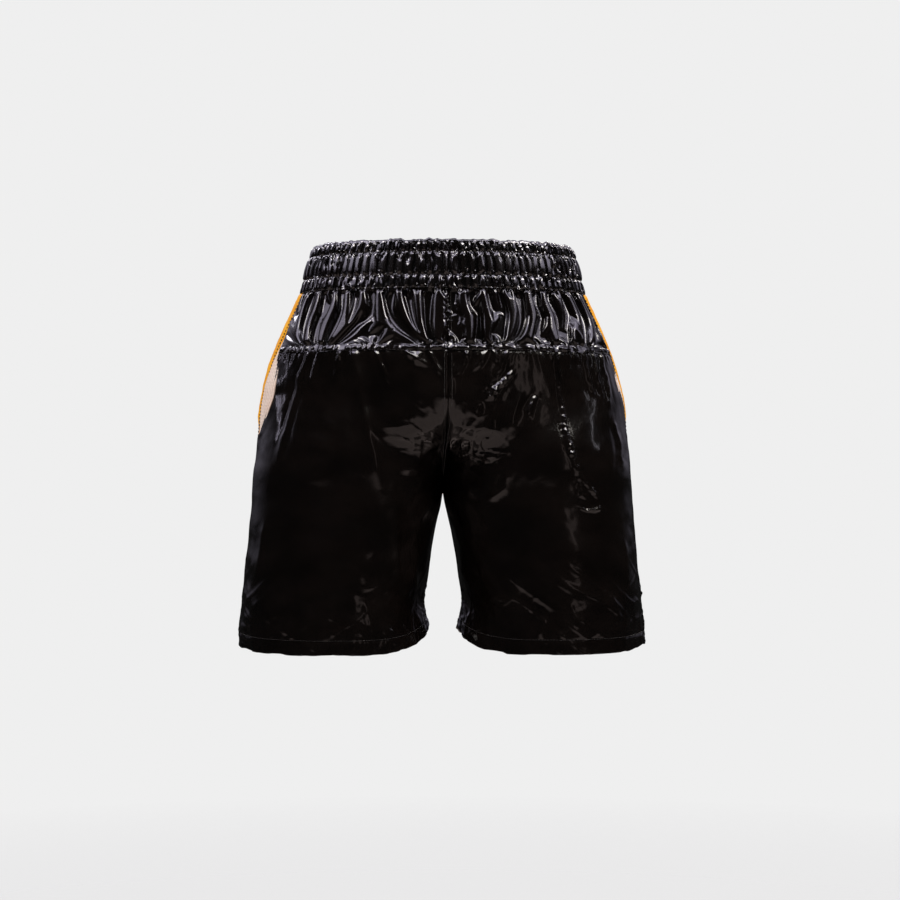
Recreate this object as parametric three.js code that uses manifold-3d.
// Boxing shorts, standing open in their worn shape: +Z up, wearer facing -Y, wearer's left on +X,
// millimetres. Origin: on the floor plane under the middle of the garment, level with the lowest
// point of the leg hems.
import * as THREE from "three";
import { mergeVertices } from "three/addons/utils/BufferGeometryUtils.js";
import Module from "manifold-3d";

const wasm = await Module();
wasm.setup();
const { clamp, lerp, smoothstep } = THREE.MathUtils;

// ---------------------------------------------------------------- driving dimensions
// Heights
const BAND_TOP = 460;
const BAND_BOTTOM = 406;
const STITCH_LOW = 421; // stitch row between drawcord channel and main elastic channel
const STITCH_HIGH = 446.5; // stitch row between main channel and header channel
const YOKE_SEAM = 338;
const LEG_TOP = 334; // a little under the yoke seam so that the legs can swing
const CROTCH = 181;
const INSERT_TOP = 401; // top of the side insert and trim, clear of the waistband
const INSERT_BOTTOM = 246;
const HEM_DEPTH = 16;
const VENT_TOP = 58;

const CLOTH_THICKNESS = 2;
const HEM_THICKNESS = 3;
const SIDE_THICKNESS = 1.6; // side insert and trim
const SEAM_GAP = 0.8; // between neighbouring panels
const HALF_GAP = SEAM_GAP / 2;
const CENTRE_GAP = 0.9; // no panel comes closer to the centre plane than this
const HALF_OFFSET = CENTRE_GAP + 0.4; // sideways shift of the mid surface from the centre plane
const Y_SHIFT = -1.125; // keeps the bounding box centred on the origin in Y
const TRIM_WIDTH = 12;

// Measured curves. Every row is [height, distance].
// Half width of the silhouette
const HALF_WIDTH = [
  [0, 226.5], [31, 227], [66, 226.5], [100, 223.5], [135, 220], [170, 216.5], [196, 214.5],
  [215, 212.5], [250, 209.5], [272, 208.5], [296, 204.5], [319, 197.5], [342, 189], [365, 179],
  [388, 168.5], [400, 163], [413, 157.5], [432, 154], [446, 149.5], [455, 146.5], [460, 145.5],
];
// Inner thigh to the centre plane
const INNER_THIGH = [
  [0, 13], [18, 15], [30, 18], [54, 21.5], [83, 17.5], [118, 12], [152, 5.5], [170, 1.5],
  [181, 0], [200, 0],
];
// Depth of the trunk and of the leg, behind and in front of the side line
const BACK_TRUNK = [
  [150, 116], [181, 118], [220, 121], [255, 123.5], [290, 124], [338, 119], [380, 112],
  [406, 108], [432, 106], [460, 104],
];
const FRONT_TRUNK = [
  [150, 112], [181, 112], [250, 110], [300, 108], [338, 107.5], [380, 107], [406, 107],
  [432, 106], [460, 104],
];
const BACK_LEG = [[0, 104], [60, 105], [120, 107], [181, 110], [290, 112]];
const FRONT_LEG = [[0, 109], [60, 109], [120, 110], [181, 110], [290, 109]];
// Seam lines, as distance behind the side line: back panels to insert, and insert to trim
const INSERT_SEAM = [
  [0, 10], [58, 6], [150, 6], [222, 6], [235, 9], [250, 25], [265, 41], [285, 47], [310, 39],
  [342, 25], [376, 15], [400, 12],
];
const TRIM_SEAM = [
  [0, 4.5], [150, 4.5], [222, 4.5], [235, 5], [250, 1], [285, 0], [342, 2], [376, 6], [400, 9],
];

// Heights at which the panels bend, shared by neighbours so that their seams match
const YOKE_ROWS = [388, 372, 355];
const LEG_ROWS = [318, 302, 290, 280, 270, 262, 254, 246, 238, 226, 200, 165, 130, 95, 60];
const SIDE_ROWS = [...YOKE_ROWS, LEG_TOP, ...LEG_ROWS];

// ---------------------------------------------------------------- materials
const standard = (settings) => new THREE.MeshStandardMaterial(settings);
const SATIN = standard({ color: 0x0b0908, roughness: 0.22 });
const HEM_SATIN = standard({ color: 0x0c0a09, roughness: 0.28 });
const GOLD = standard({ color: 0xf2a516, roughness: 0.38 });
const NETTING = standard({ color: 0xdcc2b2, roughness: 0.7 });
const ELASTIC = standard({ color: 0xe9e6e0, roughness: 0.8 });
const CORD = standard({ color: 0x121212, roughness: 0.75 });
const STEEL = standard({ color: 0x9d9fa3, roughness: 0.3, metalness: 1 });
const LABEL = standard({ color: 0xf3f1ec, roughness: 0.7 });
const THREAD = standard({ color: 0x14100e, roughness: 0.6 });

// ---------------------------------------------------------------- curves
// Cubic through the rows of a measured curve, without overshoot between them
function curveAt(rows, z) {
  const last = rows.length - 1;
  if (z <= rows[0][0]) return rows[0][1];
  if (z >= rows[last][0]) return rows[last][1];
  let i = 0;
  while (z > rows[i + 1][0]) i++;
  const chord = (k) => (rows[k + 1][1] - rows[k][1]) / (rows[k + 1][0] - rows[k][0]);
  const slope = (k) => {
    if (k <= 0 || k >= last) return 0;
    const before = chord(k - 1);
    const after = chord(k);
    return before * after <= 0 ? 0 : (2 * before * after) / (before + after);
  };
  const span = rows[i + 1][0] - rows[i][0];
  const part = (z - rows[i][0]) / span;
  const square = part * part;
  const cube = square * part;
  return (
    (2 * cube - 3 * square + 1) * rows[i][1] +
    (cube - 2 * square + part) * span * slope(i) +
    (3 * square - 2 * cube) * rows[i + 1][1] +
    (cube - square) * span * slope(i + 1)
  );
}

// Place between two limits where isBefore turns from true to false
function bisect(low, high, isBefore) {
  for (let i = 0; i < 40; i++) {
    const middle = (low + high) / 2;
    if (isBefore(middle)) low = middle;
    else high = middle;
  }
  return (low + high) / 2;
}

// ---------------------------------------------------------------- surface of the left half
// "around" runs from the centre back seam (or inseam) at 0, round the side at 0.5, to the centre
// front seam (or inseam) at 1.
const SPLIT_START_BACK = 294; // height at which the trunk starts to turn into the leg
const SPLIT_START_DROP = 14; // how much lower that is at the front
const SPLIT_FULLNESS = 0.46; // keeps the seat and thigh full where trunk turns into leg

function midSurface(around, z) {
  const width = curveAt(HALF_WIDTH, z);
  const angle = Math.PI * around;
  const trunkDepth = curveAt(angle < Math.PI / 2 ? BACK_TRUNK : FRONT_TRUNK, z);
  const trunkX = width * Math.sin(angle);
  const trunkY = trunkDepth * Math.cos(angle);

  const inner = curveAt(INNER_THIGH, z);
  const legDepth = curveAt(around < 0.5 ? BACK_LEG : FRONT_LEG, z);
  const legX = (inner + width) / 2 - ((width - inner) / 2) * Math.cos(2 * angle);
  const legY = legDepth * Math.sin(2 * angle);

  const start = SPLIT_START_BACK - SPLIT_START_DROP * smoothstep(around, 0.25, 0.75);
  const split = smoothstep(start - z, 0, start - CROTCH);
  const fullness = 1 + SPLIT_FULLNESS * split * (1 - split);
  return new THREE.Vector3(
    lerp(trunkX, legX, split) + HALF_OFFSET,
    lerp(trunkY, legY, split) * fullness + Y_SHIFT,
    z,
  );
}

// The two places a small step to either side, kept within the half
const beside = (around, step) => [clamp(around - step, 0, 1), clamp(around + step, 0, 1)];

function surfaceNormal(around, z) {
  const [before, after] = beside(around, 1e-3);
  const across = midSurface(after, z).sub(midSurface(before, z));
  const upward = midSurface(around, z + 0.5).sub(midSurface(around, z - 0.5));
  return upward.cross(across).normalize();
}

// The mid surface pushed outwards at constant height, kept clear of the centre plane
function offsetSurface(around, z, offset) {
  const point = midSurface(around, z).addScaledVector(surfaceNormal(around, z), offset);
  point.x = Math.max(point.x, CENTRE_GAP);
  point.z = z;
  return point;
}

// Place of the line that lies a distance behind the side line
const aroundAt = (behind, z) =>
  bisect(0.25, 0.75, (around) => midSurface(around, z).y - Y_SHIFT > behind);

// Moves a place along the surface by a distance in millimetres
function nudge(around, z, distance) {
  const [before, after] = beside(around, 2e-3);
  const length = midSurface(after, z).distanceTo(midSurface(before, z));
  return around + (distance * (after - before)) / length;
}

// ---------------------------------------------------------------- solid helpers
const group = new THREE.Group();
function add(name, geometry, material) {
  const mesh = new THREE.Mesh(geometry, material);
  mesh.name = name;
  group.add(mesh);
}

// Flips a geometry whose faces point inwards
function outward(geometry) {
  const { position } = geometry.attributes;
  const index = geometry.index.array;
  const corners = [0, 1, 2].map(() => new THREE.Vector3());
  let volume = 0;
  for (let i = 0; i < index.length; i += 3) {
    corners.forEach((corner, k) => corner.fromBufferAttribute(position, index[i + k]));
    volume += corners[0].dot(corners[1].cross(corners[2]));
  }
  if (volume < 0) {
    for (let i = 0; i < index.length; i += 3) {
      [index[i + 1], index[i + 2]] = [index[i + 2], index[i + 1]];
    }
  }
  geometry.computeVertexNormals();
  return geometry;
}

// Moves every vertex of a geometry and welds it shut
function warp(source, move) {
  const bare = source.clone();
  bare.deleteAttribute("normal");
  bare.deleteAttribute("uv");
  const merged = mergeVertices(bare, 1e-5);
  const { position } = merged.attributes;
  const vertex = new THREE.Vector3();
  for (let i = 0; i < position.count; i++) {
    const moved = move(vertex.fromBufferAttribute(position, i));
    position.setXYZ(i, moved.x, moved.y, moved.z);
  }
  return outward(mergeVertices(merged, 1e-4));
}

function addPair(name, geometry, material) {
  add(name + "_left", geometry, material);
  add(name + "_right", outward(geometry.clone().scale(-1, 1, 1)), material);
}

const shapeOf = (points) => new THREE.Shape(points.map(([x, y]) => new THREE.Vector2(x, y)));

// Turns a profile of [radius, y] points about the Y axis
const lathe = (profile, segments = 16) =>
  new THREE.LatheGeometry(profile.map(([x, y]) => new THREE.Vector2(x, y)), segments);

function toManifold(geometry) {
  return new wasm.Manifold(new wasm.Mesh({
    numProp: 3,
    vertProperties: new Float32Array(geometry.attributes.position.array),
    triVerts: new Uint32Array(geometry.index.array),
  }));
}

function fromManifold(manifold) {
  const mesh = manifold.getMesh();
  const geometry = new THREE.BufferGeometry();
  const positions = new Float32Array(mesh.vertProperties);
  geometry.setAttribute("position", new THREE.BufferAttribute(positions, 3));
  geometry.setIndex(new THREE.BufferAttribute(new Uint32Array(mesh.triVerts), 1));
  geometry.computeVertexNormals();
  return geometry;
}

// A ply between two seam lines (functions of height) and two edges (functions of the fraction
// across the panel). The box's x is across the panel, y is up it and z is its thickness.
function panel({
  from, to, top, bottom, columns, rows = [], thickness = CLOTH_THICKNESS, lift = () => 0,
}) {
  const bands = rows.length + 1;
  return warp(new THREE.BoxGeometry(1, 1, 1, columns, bands, 1), (point) => {
    const fraction = point.x + 0.5;
    const row = Math.round((0.5 - point.y) * bands);
    let z = rows[row - 1];
    if (row === 0) z = top(fraction);
    if (row === bands) z = bottom(fraction);
    const start = from(z);
    const around = start + (to(z) - start) * fraction;
    return offsetSurface(around, z, lift(z) + point.z * thickness);
  });
}

// ---------------------------------------------------------------- seam lines and edges
const INSERT_BACK_GAP = HALF_GAP + 0.8; // on each side of the insert's back seam
const INSERT_FRONT_GAP = HALF_GAP + 0.6; // on the insert's side of the trim seam

const insertSeam = (z) => aroundAt(curveAt(INSERT_SEAM, z), z);
const trimSeam = (z) => aroundAt(curveAt(TRIM_SEAM, z), z);
const trimFront = (z) => aroundAt(curveAt(TRIM_SEAM, z) - TRIM_WIDTH, z);

const centreBack = (z) => nudge(0, z, HALF_GAP);
const centreFront = (z) => nudge(1, z, -HALF_GAP);
const behindInsert = (z) => nudge(insertSeam(z), z, -INSERT_BACK_GAP);
const insertBack = (z) => nudge(insertSeam(z), z, INSERT_BACK_GAP);
const insertFront = (z) => nudge(trimSeam(z), z, -INSERT_FRONT_GAP);
const trimBackEdge = (z) => nudge(trimSeam(z), z, HALF_GAP);
const trimFrontEdge = (z) => nudge(trimFront(z), z, -HALF_GAP);
const aheadOfTrim = (z) => nudge(trimFront(z), z, HALF_GAP);

// How far the insert and trim stand outside the mid surface: level with the panels lower down,
// proud of the yokes they swing past higher up
const LOW_LIFT = 0.4;
const HIGH_LIFT = 3.4;
const sideLift = (z) => LOW_LIFT + (HIGH_LIFT - LOW_LIFT) * smoothstep(z, 298, 326);

// Lower edge of the leg: lifted at the inner thigh and a little at the side
const THIGH_LIFT = { height: 28, reach: 0.2 };
const VENT_LIFT = { height: 3.5, reach: 0.06 };
function hemLift(around) {
  const fromInseam = Math.min(around, 1 - around);
  const thigh = clamp(1 - fromInseam / THIGH_LIFT.reach, 0, 1) ** 2;
  const vent = Math.exp(-(((around - 0.5) / VENT_LIFT.reach) ** 2));
  return THIGH_LIFT.height * thigh + VENT_LIFT.height * vent;
}
// The hem edge under each panel, by the fraction across it
const backHem = (fraction) => hemLift(fraction * 0.48);
const frontLegHem = (fraction) => hemLift(0.52 + fraction * 0.48);
const frontHem = (fraction) => hemLift(0.5 + fraction * 0.5);
const TRIM_HEM = 3.6;
const aboveHem = (edge) => HEM_DEPTH + HALF_GAP + edge;
const hemTop = (edge) => HEM_DEPTH - HALF_GAP + edge;

// ---------------------------------------------------------------- yokes
const YOKE = {
  top: () => BAND_BOTTOM - SEAM_GAP,
  bottom: () => YOKE_SEAM,
  columns: 9,
  rows: YOKE_ROWS,
};
addPair("back_yoke", panel({ ...YOKE, from: centreBack, to: behindInsert }), SATIN);
addPair("front_yoke", panel({ ...YOKE, from: aheadOfTrim, to: centreFront }), SATIN);

// ---------------------------------------------------------------- legs
const LEG = { top: () => LEG_TOP, columns: 10, rows: LEG_ROWS };
addPair("back_leg_panel", panel({
  ...LEG,
  from: centreBack,
  to: behindInsert,
  bottom: (fraction) => aboveHem(backHem(fraction)),
}), SATIN);
addPair("front_leg_panel", panel({
  ...LEG,
  from: aheadOfTrim,
  to: centreFront,
  bottom: (fraction) => aboveHem(frontLegHem(fraction)),
}), SATIN);

// ---------------------------------------------------------------- side insert and trim
const SIDE = { top: () => INSERT_TOP, thickness: SIDE_THICKNESS, lift: sideLift };
addPair("side_mesh_insert", panel({
  ...SIDE,
  from: insertBack,
  to: insertFront,
  bottom: () => INSERT_BOTTOM,
  columns: 3,
  rows: SIDE_ROWS.filter((z) => z > INSERT_BOTTOM),
}), NETTING);
addPair("gold_trim_band", panel({
  ...SIDE,
  from: trimBackEdge,
  to: trimFrontEdge,
  bottom: () => aboveHem(TRIM_HEM),
  columns: 1,
  rows: SIDE_ROWS,
}), GOLD);

// ---------------------------------------------------------------- hem bands
const hemBand = (from, to, bottom) => panel({
  from,
  to,
  top: (fraction) => hemTop(bottom(fraction)),
  bottom,
  columns: 10,
  thickness: HEM_THICKNESS,
});
addPair("back_hem_band", hemBand(centreBack, behindInsert, backHem), HEM_SATIN);
addPair("front_hem_band", hemBand(trimBackEdge, centreFront, frontHem), HEM_SATIN);

// Bar tack at the top of the side vent, sewn across the two edges on the outside
addPair("vent_bar_tack", panel({
  from: (z) => aroundAt(11, z),
  to: (z) => aroundAt(-3, z),
  top: () => VENT_TOP + 4.5,
  bottom: () => VENT_TOP + 2,
  columns: 2,
  thickness: 0.8,
  lift: () => 2.1,
}), THREAD);

// ---------------------------------------------------------------- waistband casing
// Whole-ring version of the waist section: angle 0 at the centre back, 90 degrees on the
// wearer's left, pushed outwards by the offset.
function ring(angle, z, offset) {
  const sine = Math.sin(angle);
  const cosine = Math.cos(angle);
  const width = curveAt(HALF_WIDTH, z) + HALF_OFFSET;
  const depth = curveAt(cosine >= 0 ? BACK_TRUNK : FRONT_TRUNK, z);
  const normalX = sine / width;
  const normalY = cosine / depth;
  const length = Math.hypot(normalX, normalY);
  return new THREE.Vector3(
    width * sine + (offset * normalX) / length,
    depth * cosine + (offset * normalY) / length + Y_SHIFT,
    z,
  );
}

// Folded casing: outer ply, top fold and inner ply, open at the bottom
const CASING_OUT = 4.9; // outer face of the casing from the waist section
const CASING_IN = 3.7; // channel side of each ply
const FOLD_BOTTOM = BAND_TOP - 1.6;
const INNER_PLY_BOTTOM = BAND_BOTTOM + 1;
const SIDE_SEAM_ANGLE = 0.005; // half the gap between front and back casing

const plyFace = (offset, heights) => heights.map((z) => [offset, z]);
const CASING_SECTION = shapeOf([
  ...plyFace(CASING_OUT, [BAND_BOTTOM, STITCH_LOW, STITCH_HIGH, BAND_TOP]),
  ...plyFace(-CASING_OUT, [BAND_TOP, STITCH_HIGH, STITCH_LOW, INNER_PLY_BOTTOM]),
  ...plyFace(-CASING_IN, [INNER_PLY_BOTTOM, STITCH_LOW, STITCH_HIGH, FOLD_BOTTOM]),
  ...plyFace(CASING_IN, [FOLD_BOTTOM, STITCH_HIGH, STITCH_LOW, BAND_BOTTOM]),
]);

// Half of the casing, centred on an angle
function casing(centre) {
  const from = centre - Math.PI / 2 + SIDE_SEAM_ANGLE;
  const sweep = Math.PI - 2 * SIDE_SEAM_ANGLE;
  const options = { depth: 1, steps: 20, bevelEnabled: false, curveSegments: 1 };
  const straight = new THREE.ExtrudeGeometry(CASING_SECTION, options);
  return warp(straight, (point) => ring(from + sweep * point.z, point.y, point.x));
}
add("waistband_casing_back", casing(0), SATIN);

// ---------------------------------------------------------------- eyelets
const EYELET_X = 22;
const EYELET_Z = (BAND_BOTTOM + STITCH_LOW) / 2;
const EYELET_ANGLE = bisect(Math.PI / 2, Math.PI, (angle) => ring(angle, EYELET_Z, 0).x > EYELET_X);
const eyeletPoint = (offset) => ring(EYELET_ANGLE, EYELET_Z, CASING_OUT + offset);
const EYELET_CENTRE = eyeletPoint(0);
const EYELET_AXIS = eyeletPoint(1).sub(EYELET_CENTRE).normalize();

// Profiles as [radius, distance outside the outer ply]
const FLANGED_TUBE = lathe([
  [2.8, -1.9], [3.4, -1.9], [3.4, 0.4], [6.2, 0.4], [6.6, 0.9], [5.4, 1.6], [3.8, 1.6],
  [2.8, 0.9], [2.8, -1.9],
]);
const WASHER = lathe([[3.8, -2.4], [6.1, -2.4], [6.1, -1.9], [3.8, -1.9], [3.8, -2.4]]);
const HOLE = lathe([[0, -6], [3.85, -6], [3.85, 6], [0, 6]], 24);

const SIDES = [["left", 1], ["right", -1]];

// Turns a lathed part so that its axis points out of the band
function placeEyelet(geometry, sign) {
  const axis = new THREE.Vector3(EYELET_AXIS.x * sign, EYELET_AXIS.y, 0);
  const turn = new THREE.Quaternion().setFromUnitVectors(new THREE.Vector3(0, 1, 0), axis);
  const centre = new THREE.Vector3(EYELET_CENTRE.x * sign, EYELET_CENTRE.y, EYELET_CENTRE.z);
  return warp(geometry, (point) => point.applyQuaternion(turn).add(centre));
}

let frontCasing = toManifold(casing(Math.PI));
for (const [side, sign] of SIDES) {
  frontCasing = frontCasing.subtract(toManifold(placeEyelet(HOLE, sign)));
  add("eyelet_" + side, placeEyelet(FLANGED_TUBE, sign), STEEL);
  add("eyelet_washer_" + side, placeEyelet(WASHER, sign), STEEL);
}
add("waistband_casing_front", fromManifold(frontCasing), SATIN);

// ---------------------------------------------------------------- elastic
const ELASTIC_THICKNESS = 1.4;

// A closed loop inside its channel, warped from a ring of mean radius 1 and height 1
function elasticLoop(bottom, top) {
  const half = 0.1;
  const inner = 1 - half;
  const outer = 1 + half;
  const unit = lathe([[inner, 0], [outer, 0], [outer, 1], [inner, 1], [inner, 0]], 40);
  return warp(unit, ({ x, y, z }) => {
    const offset = ((Math.hypot(x, z) - 1) / half) * (ELASTIC_THICKNESS / 2);
    return ring(Math.atan2(x, z), bottom + (top - bottom) * y, offset);
  });
}
add("elastic_main", elasticLoop(STITCH_LOW + 1.8, STITCH_HIGH - 1.8), ELASTIC);
add("elastic_header", elasticLoop(STITCH_HIGH + 1.5, BAND_TOP - 3.2), ELASTIC);

// ---------------------------------------------------------------- drawcord
const CORD_RADIUS = 1.8;
const CORD_SIDES = 8;
const CORD_SECTION = shapeOf(Array.from({ length: CORD_SIDES }, (_, i) => {
  const angle = (i / CORD_SIDES) * 2 * Math.PI;
  return [CORD_RADIUS * Math.cos(angle), CORD_RADIUS * Math.sin(angle)];
}));

// A smooth path sampled evenly between its points, so that tight bends get as many sections as
// long runs
class KnotPath extends THREE.CatmullRomCurve3 {
  getTangentAt(position, target) {
    return this.getTangent(position, target);
  }
  getSpacedPoints(count) {
    return this.getPoints(count);
  }
}

function cord(points, steps) {
  const options = { steps, bevelEnabled: false, extrudePath: new KnotPath(points) };
  return warp(new THREE.ExtrudeGeometry(CORD_SECTION, options), (point) => point);
}

// In through one eyelet, round the lower channel behind the wearer, out through the other
const CHANNEL_STEPS = 15;
const leftPath = [5.2, 2.4, 0, -1.9].map(eyeletPoint);
leftPath.push(ring(EYELET_ANGLE - 0.011, EYELET_Z, 0.9));
for (let k = 0; k <= CHANNEL_STEPS; k++) {
  const angle = (EYELET_ANGLE - 0.055) * (1 - k / CHANNEL_STEPS);
  leftPath.push(ring(angle, EYELET_Z - 0.4, -0.9));
}
const rightPath = leftPath
  .slice(0, -1)
  .reverse()
  .map(({ x, y, z }) => new THREE.Vector3(-x, y, z));
const cordPath = [...leftPath, ...rightPath];
add("drawcord", cord(cordPath, (cordPath.length - 1) * 2), CORD);

// Free cord ends and their tips, hanging in front of the waistband and yokes
const END_X = eyeletPoint(4).x;
const END_Y = -120 + Y_SHIFT;
const END_TOP = EYELET_Z + 2.4;
const END_LENGTH = 68; // without the tip
const END_SPREAD = 5; // how far the lower end drifts outwards
const END_SPANS = 8;
// [radius, height from the end of the cord]
const TIP_PROFILE = [[0, -0.7], [2.3, -0.7], [2.6, -1.4], [2.6, -15], [2.1, -16], [0, -16]];

for (const [side, sign] of SIDES) {
  const line = [];
  for (let k = 0; k <= END_SPANS; k++) {
    const part = k / END_SPANS;
    const x = sign * (END_X + END_SPREAD * part ** 2);
    line.push(new THREE.Vector3(x, END_Y, END_TOP - END_LENGTH * part));
  }
  add("drawcord_end_" + side, cord(line, 10), CORD);
  const tip = lathe(TIP_PROFILE, 12).rotateX(Math.PI / 2);
  add("drawcord_tip_" + side, warp(tip, (point) => point.add(line[END_SPANS])), STEEL);
}

// ---------------------------------------------------------------- care label
// Folded label, hanging inside the centre back and bowed towards the front at its sides
const LABEL_SIZE = { width: 30, thickness: 1, height: 26 };
const LABEL_TOP = 452;
const LABEL_GAP = 1.8; // casing to the middle of the label
const LABEL_BOW = 220; // larger is flatter

function careLabel() {
  const { width, thickness, height } = LABEL_SIZE;
  const middleY = ring(0, LABEL_TOP, -CASING_OUT).y - LABEL_GAP;
  return warp(new THREE.BoxGeometry(width, thickness, height, 6, 1, 1), ({ x, y, z }) =>
    new THREE.Vector3(x, middleY - (x * x) / LABEL_BOW + y, LABEL_TOP - height / 2 + z));
}
add("care_label", careLabel(), LABEL);

export default group;
